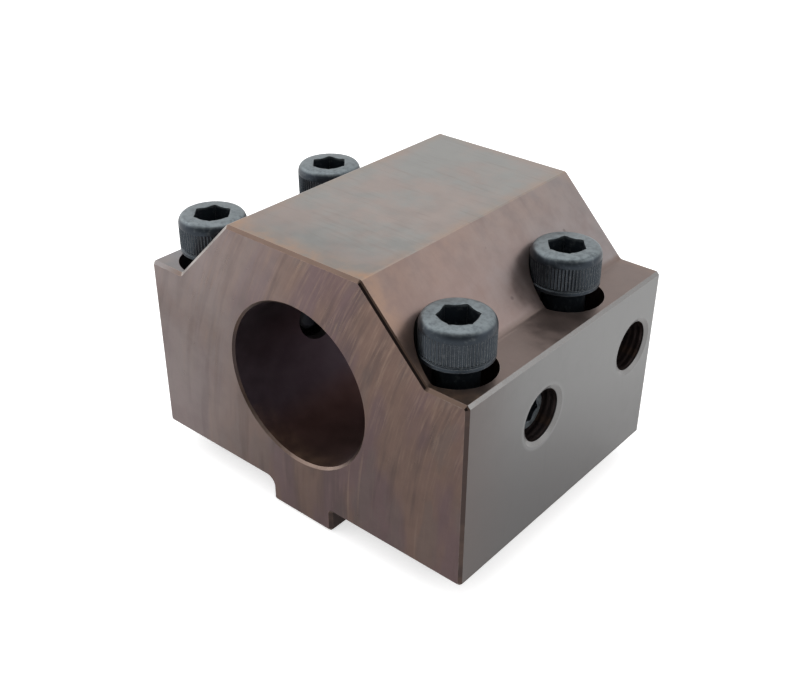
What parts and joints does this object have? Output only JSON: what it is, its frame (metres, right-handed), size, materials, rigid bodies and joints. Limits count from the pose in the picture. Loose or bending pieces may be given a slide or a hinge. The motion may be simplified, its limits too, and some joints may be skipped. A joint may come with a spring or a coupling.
{
  "type": "axial tool holder block",
  "caption": "Axial tool holder: a steel block with a bore for a tool's round shank, set screws that clamp it, and a locating key and cap screws that fix the block to a lathe turret.",
  "frame": {"origin": "under the middle of the block, in the plane of the key's underside and the cap screws' tips", "axes": "+X across the block to its right side, seen from the front; +Y from the front face, where the tool goes in, to the back; +Z from the mounting face up to the top"},
  "size_m": [0.094, 0.0746, 0.0697],
  "materials": {
    "block_steel": "milled, with a brown oxide tint",
    "screw_steel": "black oxide"
  },
  "bodies": {
    "holder": {"tool_block": "block_steel", "cap_screw_front_right": "screw_steel", "cap_screw_rear_right": "screw_steel", "cap_screw_front_left": "screw_steel", "cap_screw_rear_left": "screw_steel"},
    "set_screw_front_right": {"set_screw_front_right": "screw_steel"},
    "set_screw_rear_right": {"set_screw_rear_right": "screw_steel"},
    "set_screw_front_left": {"set_screw_front_left": "screw_steel"},
    "set_screw_rear_left": {"set_screw_rear_left": "screw_steel"}
  },
  "joints": [
    {"name": "clamp_front_right", "type": "slide", "parent": "holder", "child": "set_screw_front_right", "axis": [-1, 0, 0], "range_m": [-0.0037, 0.0093]},
    {"name": "clamp_rear_right", "type": "slide", "parent": "holder", "child": "set_screw_rear_right", "axis": [-1, 0, 0], "range_m": [-0.009, 0.004]},
    {"name": "clamp_front_left", "type": "slide", "parent": "holder", "child": "set_screw_front_left", "axis": [1, 0, 0], "range_m": [-0.009, 0.004]},
    {"name": "clamp_rear_left", "type": "slide", "parent": "holder", "child": "set_screw_rear_left", "axis": [1, 0, 0], "range_m": [-0.009, 0.004]}
  ]
}
